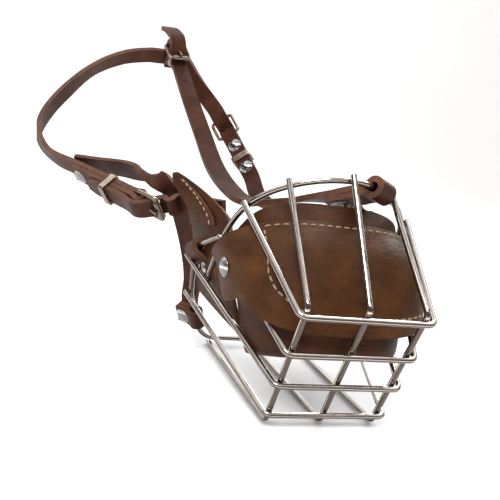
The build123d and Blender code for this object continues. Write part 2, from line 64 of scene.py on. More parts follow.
def noise(nodes, links, source, scale, detail=4.0, rough=0.55, stretch=(1, 1, 1)):
    mapping = nodes.new("ShaderNodeMapping")
    mapping.inputs["Scale"].default_value = stretch
    links.new(source, mapping.inputs["Vector"])
    tex = nodes.new("ShaderNodeTexNoise")
    tex.inputs["Scale"].default_value = scale
    tex.inputs["Detail"].default_value = detail
    tex.inputs["Roughness"].default_value = rough
    links.new(mapping.outputs["Vector"], tex.inputs["Vector"])
    return tex.outputs["Fac"]


def ramp(nodes, links, source, stops):
    node = nodes.new("ShaderNodeValToRGB")
    elements = node.color_ramp.elements
    while len(elements) < len(stops):
        elements.new(0.5)
    for element, (place, colour) in zip(elements, stops):
        element.position = place
        element.color = (*colour, 1) if len(colour) == 3 else colour
    links.new(source, node.inputs["Fac"])
    return node.outputs["Color"]


def mix(nodes, links, kind, share, a, b):
    node = nodes.new("ShaderNodeMix")
    node.data_type = "RGBA"
    node.blend_type = kind
    if isinstance(share, float):
        node.inputs["Factor"].default_value = share
    else:
        links.new(share, node.inputs["Factor"])
    links.new(a, node.inputs[6])
    links.new(b, node.inputs[7])
    return node.outputs[2]


def bump(nodes, links, height, strength, distance, before=None):
    node = nodes.new("ShaderNodeBump")
    node.inputs["Strength"].default_value = strength
    node.inputs["Distance"].default_value = distance
    links.new(height, node.inputs["Height"])
    if before is not None:
        links.new(before, node.inputs["Normal"])
    return node.outputs["Normal"]


def leather_material(name, dark, mid, light, grain=1.0, rough=(0.4, 0.58)):
    """Grained leather; its texture is laid out in centimetres on the piece."""
    mat, nodes, links, shader = new_material(name)
    uv = nodes.new("ShaderNodeUVMap").outputs["UV"]
    cloud = noise(nodes, links, uv, 0.55, 5.0, 0.6)
    streak = noise(nodes, links, uv, 2.2, 5.0, 0.6, (0.5, 3.2, 1))
    pores = noise(nodes, links, uv, 26.0, 3.0, 0.6, (0.8, 1.5, 1))
    base = ramp(nodes, links, cloud, [(0.3, dark), (0.52, mid), (0.75, light)])
    streaks = ramp(nodes, links, streak, [(0.3, (0.72, 0.7, 0.68)), (0.7, (1.12, 1.1, 1.08))])
    tone = mix(nodes, links, "MULTIPLY", 0.75, base, streaks)
    specks = ramp(nodes, links, pores, [(0.32, (0.62, 0.6, 0.58)), (0.5, (1, 1, 1))])
    tone = mix(nodes, links, "MULTIPLY", 0.55, tone, specks)
    links.new(tone, shader.inputs["Base Color"])
    gloss = ramp(nodes, links, streak, [(0.25, (rough[0],) * 3), (0.75, (rough[1],) * 3)])
    links.new(gloss, shader.inputs["Roughness"])
    cells = nodes.new("ShaderNodeTexVoronoi")
    cells.inputs["Scale"].default_value = 13.0
    cells.feature = "SMOOTH_F1"
    warp = nodes.new("ShaderNodeMapping")
    warp.inputs["Scale"].default_value = (0.75, 1.35, 1)
    links.new(uv, warp.inputs["Vector"])
    links.new(warp.outputs["Vector"], cells.inputs["Vector"])
    normal = bump(nodes, links, cells.outputs["Distance"], 0.22 * grain, 0.0006)
    normal = bump(nodes, links, pores, 0.25 * grain, 0.0004, normal)
    normal = bump(nodes, links, streak, 0.3 * grain, 0.0009, normal)
    links.new(normal, shader.inputs["Normal"])
    shader.inputs["Specular IOR Level"].default_value = 0.14
    return mat


def edge_material(name, dark, light):
    """The cut edge of leather: raw, lighter and fibrous."""
    mat, nodes, links, shader = new_material(name)
    place = nodes.new("ShaderNodeTexCoord").outputs["Object"]
    fibre = noise(nodes, links, place, 900.0, 4.0, 0.7)
    band = noise(nodes, links, place, 120.0, 3.0, 0.6)
    tone = ramp(nodes, links, band, [(0.3, dark), (0.7, light)])
    specks = ramp(nodes, links, fibre, [(0.3, (0.6, 0.6, 0.6)), (0.65, (1.1, 1.1, 1.1))])
    links.new(mix(nodes, links, "MULTIPLY", 0.7, tone, specks), shader.inputs["Base Color"])
    links.new(bump(nodes, links, fibre, 0.5, 0.0005), shader.inputs["Normal"])
    shader.inputs["Roughness"].default_value = 0.66
    return mat


def metal_material(name, painted_highlight, shade, rough=(0.08, 0.24), wear_and_warp_scale=60.0, scratch=0.12):
    """Plated metal with small pits; its base colour is painted reflection, bright and dark bands set by
    which way the surface faces and wavered by noise.
    """
    mat, nodes, links, shader = new_material(name)
    place = nodes.new("ShaderNodeTexCoord").outputs["Object"]
    cloud = noise(nodes, links, place, wear_and_warp_scale, 4.0, 0.6)
    pits = noise(nodes, links, place, 1400.0, 2.0, 0.6)
    # Painted reflection: the height of the surface normal, nudged by the noise, picks bright and dark bands
    # of base colour.
    facing = nodes.new("ShaderNodeSeparateXYZ")
    links.new(nodes.new("ShaderNodeTexCoord").outputs["Normal"], facing.inputs["Vector"])
    reflection_warp = nodes.new("ShaderNodeMath")
    reflection_warp.operation = "MULTIPLY_ADD"
    reflection_warp.inputs[1].default_value = 0.35
    links.new(cloud, reflection_warp.inputs[0])
    links.new(facing.outputs["Z"], reflection_warp.inputs[2])
    painted_reflection_bands = [(0.0, shade), (0.12, painted_highlight), (0.22, shade), (0.5, shade)]
    painted_reflection_bands += [(0.62, painted_highlight), (0.74, shade), (0.95, painted_highlight)]
    painted_reflection = ramp(nodes, links, reflection_warp.outputs["Value"], painted_reflection_bands)
    links.new(painted_reflection, shader.inputs["Base Color"])
    # The same noise varies the roughness.
    gloss = ramp(nodes, links, cloud, [(0.35, (rough[1],) * 3), (0.65, (rough[0],) * 3)])
    links.new(gloss, shader.inputs["Roughness"])
    links.new(bump(nodes, links, pits, scratch, 0.0002), shader.inputs["Normal"])
    shader.inputs["Metallic"].default_value = 1.0
    return mat


def thread_material(name, colour):
    mat, nodes, links, shader = new_material(name)
    place = nodes.new("ShaderNodeTexCoord").outputs["Object"]
    wave = nodes.new("ShaderNodeTexWave")
    wave.inputs["Scale"].default_value = 500.0
    wave.inputs["Distortion"].default_value = 1.5
    links.new(place, wave.inputs["Vector"])
    shade = tuple(channel * 0.62 for channel in colour)
    twist = ramp(nodes, links, wave.outputs["Fac"], [(0.2, shade), (0.8, colour)])
    links.new(twist, shader.inputs["Base Color"])
    links.new(bump(nodes, links, wave.outputs["Fac"], 0.6, 0.0003), shader.inputs["Normal"])
    shader.inputs["Roughness"].default_value = 0.8
    return mat


strap_leather = leather_material("strap_leather",
    (0.030, 0.008, 0.0035), (0.054, 0.0155, 0.0070), (0.092, 0.030, 0.0135),
)
soft_leather = leather_material("soft_leather",
    (0.030, 0.0095, 0.003), (0.056, 0.0185, 0.0060), (0.088, 0.032, 0.0115), 1.15,
)
patch_leather = leather_material("patch_leather",
    (0.038, 0.0125, 0.003), (0.068, 0.0235, 0.0052), (0.104, 0.040, 0.0105), 1.2,
)
cut_edge = edge_material("cut_edge", (0.050, 0.015, 0.006), (0.15, 0.050, 0.020))
dark_edge = edge_material("dark_edge", (0.03, 0.010, 0.005), (0.08, 0.028, 0.013))
flesh = edge_material("flesh_side", (0.085, 0.050, 0.036), (0.17, 0.105, 0.080))
# The two colours of each metal are painted reflection: a bright band colour and a dark band colour.
chrome = metal_material("chromed_wire", (0.78, 0.72, 0.67), (0.13, 0.105, 0.09), (0.05, 0.16))
nickel = metal_material("worn_nickel", (0.46, 0.38, 0.30), (0.17, 0.13, 0.10), (0.16, 0.38), 140.0, 0.2)
cap_metal = metal_material("rivet_nickel", (0.80, 0.79, 0.78), (0.22, 0.21, 0.21), (0.05, 0.16), 220.0, 0.1)
thread = thread_material("beige_thread", (0.50, 0.37, 0.24))


def paint(node, mat):
    """Give a CAD node that stays visible its procedural material."""
    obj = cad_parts[node]
    if not obj.material_slots:
        obj.data.materials.append(mat)
    for slot in obj.material_slots:
        slot.link = "OBJECT"
        slot.material = mat


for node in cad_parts:
    if "wire" in node:
        paint(node, chrome)
    elif "buckle" in node or "keeper" in node:
        paint(node, nickel)


# ---------------------------------------------------------------- geometry tools
def eased(stations, steps=6):
    """A smooth curve of stations (place, vectors and numbers...) through the given ones."""
    finer = []
    last = len(stations) - 1
    for i in range(last):
        before = Vector(stations[max(i - 1, 0)][0])
        start = Vector(stations[i][0])
        end = Vector(stations[i + 1][0])
        after = Vector(stations[min(i + 2, last)][0])
        span = (end - start).length
        leave = (end - before).normalized() * span
        arrive = (after - start).normalized() * span
        for step in range(steps):
            t = step / steps
            place = start * (1 + 2 * t) * (1 - t) ** 2 + leave * t * (1 - t) ** 2
            place = place + end * t * t * (3 - 2 * t) - arrive * t * t * (1 - t)
            across = Vector(stations[i][1]).normalized().lerp(Vector(stations[i + 1][1]).normalized(), t)
            finer.append((place, across))
    finer.append((Vector(stations[last][0]), Vector(stations[last][1])))
    return finer


def smooth_rows(rows, steps=6):
    """More rows between rows of points, on smooth curves through them."""
    finer = []
    last = len(rows) - 1
    for i in range(last):
        for step in range(steps):
            t = step / steps
            row = []
            for j in range(len(rows[i])):
                p0, p1, p2, p3 = (rows[max(0, min(last, k))][j] for k in (i - 1, i, i + 1, i + 2))
                row.append(
                    0.5 * (2 * p1 + (p2 - p0) * t + (2 * p0 - 5 * p1 + 4 * p2 - p3) * t * t
                           + (3 * p1 - p0 - 3 * p2 + p3) * t ** 3)
                )
            finer.append(row)
    finer.append(list(rows[-1]))
    return finer


def grid_normals(rows):
    normals = []
    m, n = len(rows), len(rows[0])
    for i in range(m):
        line = []
        for j in range(n):
            along = rows[min(i + 1, m - 1)][j] - rows[max(i - 1, 0)][j]
            side = rows[i][min(j + 1, n - 1)] - rows[i][max(j - 1, 0)]
            normal = side.cross(along)
            line.append(normal.normalized() if normal.length > 1e-12 else Vector((0, 0, 1)))
        normals.append(line)
    return normals


def punch(centre, axis, radius):
    """A round cutter for a punched hole."""
    up = Vector(axis).normalized()
    side = up.orthogonal().normalized()
    other = up.cross(side)
    rings = []
    for h in (-6, 6):
        for k in range(20):
            turn = 2 * pi * k / 20
            rings.append((Vector(centre) + up * h + (side * cos(turn) + other * sin(turn)) * radius) * MM)
    faces = [(k, (k + 1) % 20, 20 + (k + 1) % 20, 20 + k) for k in range(20)]
    faces += [tuple(range(19, -1, -1)), tuple(range(20, 40))]
    mesh = bpy.data.meshes.new("punch")
    mesh.from_pydata(rings, [], faces)
    obj = bpy.data.objects.new("punch", mesh)
    bpy.context.collection.objects.link(obj)
    return obj


def resample(row, start, end):
    """The same number of points, evenly spaced between two distances along a row."""
    lengths = [0.0]
    for a, b in zip(row, row[1:]):
        lengths.append(lengths[-1] + (b - a).length)
    points, k = [], 0
    for j in range(len(row)):
        s = start + (end - start) * j / (len(row) - 1)
        while k < len(row) - 2 and lengths[k + 1] < s:
            k += 1
        points.append(row[k].lerp(row[k + 1], (s - lengths[k]) / max(lengths[k + 1] - lengths[k], 1e-9)))
    return points


def rounded_ends(rows, radius, ends=(True, True)):
    """Rows whose first and last corners are rounded off."""
    run = [0.0]
    middle = len(rows[0]) // 2
    for a, b in zip(rows, rows[1:]):
        run.append(run[-1] + (b[middle] - a[middle]).length)
    shaped = []
    for row, at in zip(rows, run):
        length = sum((b - a).length for a, b in zip(row, row[1:]))
        edge = min(at, run[-1] - at)
        cut = 0.0
        if edge < radius:
            cut = radius - (radius ** 2 - (radius - edge) ** 2) ** 0.5
        shaped.append(resample(row, cut if ends[0] else 0.0, length - (cut if ends[1] else 0.0)))
    return shaped


def leather(name, rows, thickness, face=None, edge=None, round_edge=0.55, puff=0.0, holes=(), flesh_on=0):
    """A closed sheet of leather about a grid of points in mm; its rim gets the edge material."""
    face = face or strap_leather
    edge = edge or cut_edge
    m, n = len(rows), len(rows[0])
    normals = grid_normals(rows)
    verts, uvs = [], []
    for side in (1, -1):
        along = 0.0
        for i in range(m):
            if i:
                along += (rows[i][n // 2] - rows[i - 1][n // 2]).length
            across = 0.0
            for j in range(n):
                if j:
                    across += (rows[i][j] - rows[i][j - 1]).length
                swell = 1 + puff * sin(pi * i / (m - 1)) * sin(pi * j / (n - 1))
                verts.append((rows[i][j] + normals[i][j] * (side * thickness / 2 * swell)) * MM)
                uvs.append((across / 10 + 7.3 * side, along / 10))
    count = m * n
    faces, rim = [], []
    for i in range(m - 1):
        for j in range(n - 1):
            a, b, c, d = i * n + j, i * n + j + 1, (i + 1) * n + j + 1, (i + 1) * n + j
            faces.append((a, b, c, d))
            faces.append((count + d, count + c, count + b, count + a))
    loop = [j for j in range(n)] + [i * n + n - 1 for i in range(1, m)]
    loop += [(m - 1) * n + j for j in range(n - 2, -1, -1)] + [i * n for i in range(m - 2, 0, -1)]
    for a, b in zip(loop, loop[1:] + loop[:1]):
        rim.append((b, a, count + a, count + b))
    mesh = bpy.data.meshes.new(name)
    mesh.from_pydata(verts, [], faces + rim)
    mesh.materials.append(face)
    mesh.materials.append(edge)
    if flesh_on:
        mesh.materials.append(flesh)
    layer = mesh.uv_layers.new(name="UVMap")
    for polygon in mesh.polygons:
        polygon.material_index = 1 if polygon.index >= len(faces) else 0
        if flesh_on and polygon.index < len(faces) and (1 if polygon.index % 2 == 0 else -1) == flesh_on:
            polygon.material_index = 2
        polygon.use_smooth = True
        for index in polygon.loop_indices:
            layer.data[index].uv = uvs[mesh.loops[index].vertex_index]
    mesh.update()
    obj = bpy.data.objects.new(name, mesh)
    bpy.context.collection.objects.link(obj)
    bevel = obj.modifiers.new("rounding", "BEVEL")
    bevel.width = round_edge * MM
    bevel.segments = 3
    bevel.limit_method = "ANGLE"
    bevel.angle_limit = radians(50)
    cutters = [punch(centre, axis, radius) for centre, axis, radius in holes]
    for cutter in cutters:
        cut = obj.modifiers.new("hole", "BOOLEAN")
        cut.operation = "DIFFERENCE"
        cut.object = cutter
    obj.modifiers.new("normals", "WEIGHTED_NORMAL")
    bpy.context.view_layer.update()
    graph = bpy.context.evaluated_depsgraph_get()
    final = bpy.data.meshes.new_from_object(obj.evaluated_get(graph))
    obj.modifiers.clear()
    obj.data = final
    final.name = name
    for cutter in cutters:
        bpy.data.objects.remove(cutter)
    return obj


def strap_rows(stations, width=STRAP_W, columns=5, steps=6, taper_tip=False):
    """Rows of points across a strap that follows the stations."""
    way = eased(stations, steps)
    rows = []
    for i, (place, across) in enumerate(way):
        ahead = (way[min(i + 1, len(way) - 1)][0] - way[max(i - 1, 0)][0]).normalized()
        side = (across - ahead * across.dot(ahead)).normalized()
        half = width / 2
        left = len(way) - 1 - i
        if taper_tip and left < len(TIP_SHAPE):
            half *= TIP_SHAPE[3 - left]
        rows.append([place + side * half * (2 * j / (columns - 1) - 1) for j in range(columns)])
    return rows


def finish_piece(obj, body, slot_name, *nodes):
    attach(obj, body)
    if nodes:
        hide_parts(*nodes)
    return obj


class Seat:
    """A buckle's seat: x across the strap, y towards the roller, z away from the wearer."""

    def __init__(self, centre, ahead, outward=None, across=None):
        self.o = Vector(centre)
        self.y = Vector(ahead).normalized()
        if across is None:
            z = Vector(outward)
            self.z = (z - self.y * z.dot(self.y)).normalized()
            self.x = self.y.cross(self.z)
        else:
            self.x = Vector(across).normalized()
            self.y = (self.y - self.x * self.y.dot(self.x)).normalized()
            self.z = self.x.cross(self.y)

    def at(self, x, y, z):
        return self.o + self.x * x + self.y * y + self.z * z


def fold(seat, leg, inner_leg, fold_at, core, parting):
    """Stations round a fold: along the outer leg, round the bar and back on the inner leg."""
    bend = core + STRAP_T / 2
    flat = STRAP_T / 2 + parting
    places = [(-leg + (leg - 5) * k / 4, flat) for k in range(5)]
    lean = radians(100)
    for k in range(9):
        turn = lean - 2 * lean * k / 8
        places.append((bend * cos(turn), bend * sin(turn)))
    places += [(-5 - (inner_leg - 5) * k / 4, -flat) for k in range(5)]
    return [(seat.at(0, fold_at + y, z), seat.x) for y, z in places]


def billet(seat, tip, lead=7.0):
    under = -(ROLLER_R + 1.5 + STRAP_T / 2)
    over = BAR_R + 0.15 + STRAP_T + 0.5 + STRAP_T / 2
    lying = 1.5 * STRAP_T + 0.5
    rise = (under + over) / 2 + 1.8
    places = [(BUCKLE_L / 2 + lead, under), (BUCKLE_L / 2, under), (0, rise), (-BUCKLE_L / 2, over)]
    if tip is not None:
        places += [(-BUCKLE_L / 2 - 8, lying + 0.4), (-BUCKLE_L / 2 - 14, lying), (tip, lying)]
    return [(seat.at(0, y, z), seat.x) for y, z in places]


def stitches(name, points, normals, pitch=3.0, length=2.1, radius=0.42):
    """A row of stitches along a line of points, lying on the leather."""
    lengths = [0.0]
    for a, b in zip(points, points[1:]):
        lengths.append(lengths[-1] + (b - a).length)
    verts, faces = [], []

    def along(s):
        s = max(0.0, min(lengths[-1], s))
        for k in range(len(points) - 1):
            if s <= lengths[k + 1]:
                t = (s - lengths[k]) / max(lengths[k + 1] - lengths[k], 1e-9)
                return points[k].lerp(points[k + 1], t), normals[k].lerp(normals[k + 1], t).normalized()
        return points[-1], normals[-1]

    count = int(lengths[-1] / pitch)
    for k in range(count):
        middle = (k + 0.5) * lengths[-1] / count
        wobble = rng.uniform(-0.12, 0.12)
        a, up = along(middle - length / 2)
        b, _ = along(middle + length / 2)
        axis = (b - a).normalized()
        side = axis.cross(up).normalized()
        first = len(verts)
        for ring in range(7):
            t = ring / 6
            swell = max(0.25, sin(pi * (0.08 + 0.84 * t)) ** 0.5)
            lift = radius * (0.55 * sin(pi * t) - 0.25)
            centre = a.lerp(b, t) + up * lift + side * wobble * (t - 0.5)
            for spoke in range(8):
                turn = 2 * pi * spoke / 8
                verts.append((centre + (side * cos(turn) + up * sin(turn)) * radius * swell) * MM)
        for ring in range(6):
            for spoke in range(8):
                c, d = first + ring * 8 + spoke, first + ring * 8 + (spoke + 1) % 8
                faces.append((c, d, d + 8, c + 8))
        faces.append(tuple(first + spoke for spoke in range(7, -1, -1)))
        faces.append(tuple(first + 48 + spoke for spoke in range(8)))
    mesh = bpy.data.meshes.new(name)
    mesh.from_pydata(verts, [], faces)
    for polygon in mesh.polygons:
        polygon.use_smooth = True
    mesh.materials.append(thread)
    obj = bpy.data.objects.new(name, mesh)
    bpy.context.collection.objects.link(obj)
    return obj


def rivets(name, places, body, node, radius=5.0, height=1.9):
    """Domed caps turned on the lathe, with a rolled rim; places are (centre, outward) in mm."""
    profile = [(sin(radians(a)) / 0.94, height * (cos(radians(a)) - 0.34) / 0.66) for a in range(0, 63, 6)]
    profile += [(0.965, height * 0.2), (1.0, height * 0.16), (1.0, height * 0.03)]
    profile += [(0.96, -0.15), (0.0, -0.15)]
    verts, faces = [], []
    spokes = 40
    for centre, outward in places:
        up = Vector(outward).normalized()
        side = up.orthogonal().normalized()
        other = up.cross(side)
        first = len(verts)
        verts.append((Vector(centre) + up * profile[0][1]) * MM)
        for r, h in profile[1:-1]:
            for k in range(spokes):
                turn = 2 * pi * k / spokes
                rim = (side * cos(turn) + other * sin(turn)) * r * radius
                verts.append((Vector(centre) + up * h + rim) * MM)
        verts.append((Vector(centre) + up * profile[-1][1]) * MM)
        rings = len(profile) - 2
        for k in range(spokes):
            n = (k + 1) % spokes
            faces.append((first, first + 1 + k, first + 1 + n))
            for ring in range(rings - 1):
                a = first + 1 + ring * spokes
                faces.append((a + k, a + spokes + k, a + spokes + n, a + n))
            a = first + 1 + (rings - 1) * spokes
            faces.append((a + k, len(verts) - 1, a + n))
    mesh = bpy.data.meshes.new(name)
    mesh.from_pydata(verts, [], faces)
    for polygon in mesh.polygons:
        polygon.use_smooth = True
    mesh.materials.append(cap_metal)
    obj = bpy.data.objects.new(name, mesh)
    bpy.context.collection.objects.link(obj)
    return finish_piece(obj, body, "rivet_nickel", node)


# ---------------------------------------------------------------- nose leather
def arch(y, z, rise_y, rise_z, half_width, rise, leg, shoulder=0.84, columns=57):
    """Points along an upturned U in a tilted plane, from the left foot to the right foot."""
    up = Vector((0, rise_y, rise_z)).normalized()
    side = [(half_width, -leg), (half_width * 0.985, rise * 0.3), (half_width * shoulder, rise * 0.74)]
    side.append((half_width * shoulder * 0.6, rise * 0.955))
    outline = [Vector((-x, v, 0)) for x, v in side] + [Vector((0, rise, 0))]
    outline += [Vector((x, v, 0)) for x, v in reversed(side)]
    fine = [row[0] for row in smooth_rows([[point] for point in outline], 12)]
    lengths = [0.0]
    for a, b in zip(fine, fine[1:]):
        lengths.append(lengths[-1] + (b - a).length)
    points = []
    k = 0
    for j in range(columns):
        s = lengths[-1] * j / (columns - 1)
        while k < len(fine) - 2 and lengths[k + 1] < s:
            k += 1
        t = (s - lengths[k]) / max(lengths[k + 1] - lengths[k], 1e-9)
        p = fine[k].lerp(fine[k + 1], t)
        points.append(Vector((p.x, y, z)) + up * p.y)
    return points


half = LINING / 2
liner_rows = smooth_rows(
    [
        arch(-9, 80, -21, 26, 44.6 - half, 32.0 - half, 0),
        arch(-14.5, 67.5, -28, 26, 43.6 - half, 36.6 - half, 0),
        arch(-20, 55, -34, 24, 42.0 - half, 40.0 - half, 0),
        arch(-25.5, 43, -35, 18, 40.0 - half, 39.2 - half, 0),
        arch(-31, 31, -34, 13, 37.6 - half, 36.0 - half, 0),
        arch(-29.5, 27.5, -34, 11, 35.6 - half, 33.6 - half, 0),
        arch(-26.0, 27.5, -34, 11, 33.4 - half, 31.0 - half, 0),
    ],
    7,
)
liner_normals = grid_normals(liner_rows)
liner_out = 1 if liner_normals[3][28].z > 0 else -1
liner = leather(
    "nose_liner_skin", liner_rows, LINING, soft_leather, dark_edge, puff=0.12, flesh_on=-liner_out
)
finish_piece(liner, "cage", "lining_leather", "nose_liner")

patch_rows = smooth_rows(
    [
        arch(-13, 77, -24, 20, 54.6 - half, 31.5 - half, 8, 0.74),
        arch(-18.5, 73.5, -31, 14, 53.4 - half, 35.6 - half, 7, 0.77),
        arch(-22, 70, -36, 8, 52.0 - half, 38.0 - half, 6, 0.8),
        arch(-26.5, 66, -37, -3, 50.8 - half, 40.0 - half, 5, 0.82),
        arch(-30, 62, -37, -12, 49.0 - half, 40.8 - half, 4, 0.84),
    ],
    7,
)
WING_DROP = Vector((-1.6, 2.0, -10.5))
WING_LENGTH = 19.0
m, n = len(patch_rows), len(patch_rows[0])
for i in range(m):
    share = (i / (m - 1)) ** 2.2
    for j in range(n):
        from_foot = min(min(j, n - 1 - j) * COLUMN_PITCH / WING_LENGTH, 1.0)
        drop = WING_DROP * (share * (0.5 + 0.5 * cos(pi * from_foot)))
        drop.x = drop.x if j < n // 2 else -drop.x
        patch_rows[i][j] = patch_rows[i][j] + drop
patch_rows = rounded_ends(patch_rows, 4.0)
patch = leather("nose_patch_skin", patch_rows, LINING, patch_leather, cut_edge, puff=0.1)
finish_piece(patch, "cage", "strap_leather", "nose_patch")

patch_normals = grid_normals(patch_rows)
out = 1 if patch_normals[10][28].y < 0 else -1
lift = half * 1.08


def on_patch(i, j):
    return patch_rows[i][j] + patch_normals[i][j] * (out * lift), patch_normals[i][j] * out


TOP_ROW, LOW_ROW, SIDE = 2, m - 8, 14
seam_places = {
    "top": [(TOP_ROW, j) for j in range(SIDE, n - SIDE)],
    "left": [(i, SIDE) for i in range(TOP_ROW + 1, LOW_ROW - 4)]
    + [(LOW_ROW - 2, SIDE + 1), (LOW_ROW, SIDE + 3), (LOW_ROW + 2, SIDE + 6)],
    "right": [(i, n - 1 - SIDE) for i in range(TOP_ROW + 1, LOW_ROW)],
    "low": [(LOW_ROW + 2, j) for j in range(SIDE + 7, n - SIDE)],
}
for label, places in seam_places.items():
    line = [on_patch(i, j) for i, j in places]
    row = stitches(f"patch_stitches_{label}", [p for p, up in line], [up for p, up in line], 4.2, 3.0, 0.42)
    finish_piece(row, "cage", "strap_leather")

cap_places = [on_patch(int(0.55 * m), 4), on_patch(int(0.55 * m), n - 5)]
rivets("patch_rivet_caps", cap_places, "cage", "patch_rivets")


# ---------------------------------------------------------------- cheek leather
def pad_rows(ends, bulge, columns=15):
    """Rows between a front edge and a rear edge, bowed out a little in the middle."""
    rows = []
    for (front, rear), bow in zip(ends, bulge):
        a, b = Vector(front), Vector(rear)
        row = []
        for j in range(columns):
            t = j / (columns - 1)
            row.append(a.lerp(b, t) + Vector(((1 if a.x > 0 else -1) * bow * sin(pi * t), 0, 0)))
        rows.append(row)
    return smooth_rows(rows, 5)


LEFT_PAD = [
    ((-37.5, -26.0, 34.0), (-47.0, 36.0, 42.0)),
    ((-42.5, -19.0, 52.0), (-49.5, 35.0, 56.0)),
    ((-44.5, -8.0, 71.0), (-53.5, 33.0, 70.0)),
    ((-44.6, -3.0, 87.5), (-57.0, 30.5, 84.0)),
    ((-49.6, 9.0, 95.5), (-60.5, 30.0, 91.5)),
    ((-55.6, 22.5, 101.0), (-65.0, 36.5, 98.5)),
    ((-61.5, 33.0, 105.0), (-68.3, 42.0, 103.6)),
    ((-66.2, 40.6, 107.6), (-68.4, 43.6, 107.0)),
]
RIGHT_PAD = [
    ((37.5, -26.0, 34.0), (47.0, 36.0, 42.0)),
    ((42.5, -19.0, 52.0), (49.5, 35.0, 56.0)),
    ((44.5, -5.0, 71.0), (50.5, 29.0, 70.0)),
    ((45.0, -2.0, 88.0), (58.5, 34.0, 84.0)),
    ((48.0, 14.0, 94.5), (55.8, 37.5, 91.8)),
    ((45.9, 22.4, 98.6), (51.2, 39.6, 97.4)),
    ((43.8, 31.2, 102.0), (46.4, 39.0, 101.8)),
]
for side, ends in (("left", LEFT_PAD), ("right", RIGHT_PAD)):
    sign = -1 if side == "left" else 1
    rows = pad_rows(ends, [0.5, 1.0, 1.2, 1.4, 1.2, 0.9, 0.5, 0.2][: len(ends)])
    skin = leather(f"cheek_pad_{side}_skin", rows, LINING, soft_leather, cut_edge, puff=0.15)
    finish_piece(skin, "cage", "lining_leather", f"cheek_pad_{side}")
    normals = grid_normals(rows)
    sense = sign if normals[12][7].x > 0 else -sign
    facing = []
    first, final = 14, len(rows) - 6
    for i in range(first, final):
        share = 1 - 0.25 * (i - first) / (final - first)
        facing.append([])
        for j in range(4, 14):
            facing[-1].append(rows[i][j] + normals[i][j] * sense * (LINING * 1.02))
    piece = leather(f"cheek_facing_{side}_skin", facing, LINING - 0.3, soft_leather, cut_edge, puff=0.1)
    finish_piece(piece, "cage", "strap_leather", f"cheek_facing_{side}")
    face_normals = grid_normals(facing)
    turn = sign if face_normals[4][4].x > 0 else -sign
    line = [(row[1] + nrm[1] * turn * 1.15, nrm[1] * turn) for row, nrm in zip(facing, face_normals)]
    row = stitches(f"cheek_stitches_{side}", [p for p, n in line], [n for p, n in line], 3.8, 2.7, 0.4)
    finish_piece(row, "cage", "strap_leather")

# The side tabs are folded over the side bars of the second band wire.
BAR_START, BAR_END = Vector((51.5, -9.6, 81.0)), Vector((57.4, 31.0, 64.9))
for side, sign in (("left", -1), ("right", 1)):
    mirror = Matrix.Diagonal((sign, 1, 1))
    ahead = (BAR_END - BAR_START).normalized()
    core = BAR_START + ahead * 32.5
    up = (Vector((0, 0, 1)) - ahead * ahead.z).normalized()
    away = ahead.cross(up)
    bend = WIRE_R + 0.15 + 1.2
    path = [(-bend, -2.6), (-bend, -1.0)]
    path += [(bend * cos(pi - pi * k / 8), bend * sin(pi - pi * k / 8)) for k in range(9)]
    path += [(bend - 0.1, -1.6), (1.0, -4.0), (-2.0, -5.9), (-4.3, -8.2)]
    path += [(-5.0, -11.0), (-5.2, -15.0), (-5.2, -19.0)]
    rows = []
    for x, h in path:
        widen = 6.5 - 1.2 * max(0.0, (-h - 12) / 7)
        place = core + away * x + up * h
        rows.append([mirror @ (place + ahead * widen * (2 * j / 6 - 1)) for j in range(7)])
    tab = leather(f"side_tab_{side}_skin", smooth_rows(rows, 2), 2.5, strap_leather, cut_edge)
    finish_piece(tab, "cage", "strap_leather", f"side_tab_{side}")
tab_place = core + away * (-5.2 + 1.2) - up * 12
tab_left = Matrix.Diagonal((-1, 1, 1)) @ tab_place
rivets("side_tab_rivet_caps", [(tab_place, away), (tab_left, Matrix.Diagonal((-1, 1, 1)) @ away)],
       "cage", "side_tab_rivets", height=1.5)

# ---------------------------------------------------------------- harness
LEFT = Seat((-79.0, 48.4, 86.3), (0.585, -0.81, -0.16), (-0.6, -0.43, -0.67))
RIGHT = Seat((-9.0, 164, 140), (-0.35, 0.63, 0.69), (0.59, 0.72, -0.36))
CROWN = Seat((-48.5, 191.5, 193), (0.2, -0.72, -0.66), (0.05, -0.67, 0.74))
NOSE = Seat((18.743, -34.906, 114.907), (24, -38, 15), across=(-0.87188, -0.402743, 0.27861))
RIM = Seat((-41.953, 50.278, 19.047), (0.6, -0.8, -0.07), across=(0.356256, 0.342447, -0.869374))


def strap(name, stations, body, *nodes, width=STRAP_W, thickness=STRAP_T, tip=False):
    rows = strap_rows(stations, width, taper_tip=tip)
    return finish_piece(leather(name, rows, thickness), body, "strap_leather", *nodes)


def crossing_strap(name, stations, *nodes, start, end, tip=False, hole_centres=()):
    """A strap that runs from the cage to the harness along its stations, baked in place."""
    rows = strap_rows(stations, taper_tip=tip)
    normals = grid_normals(rows)
    holes = []
    for centre in hole_centres:
        nearest = min(range(len(rows)), key=lambda i: (rows[i][2] - Vector(centre)).length)
        holes.append((rows[nearest][2], normals[nearest][2], 1.3))
    piece = leather(name, rows, STRAP_T, holes=holes)
    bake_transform(piece)
    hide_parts(*nodes)
    return piece


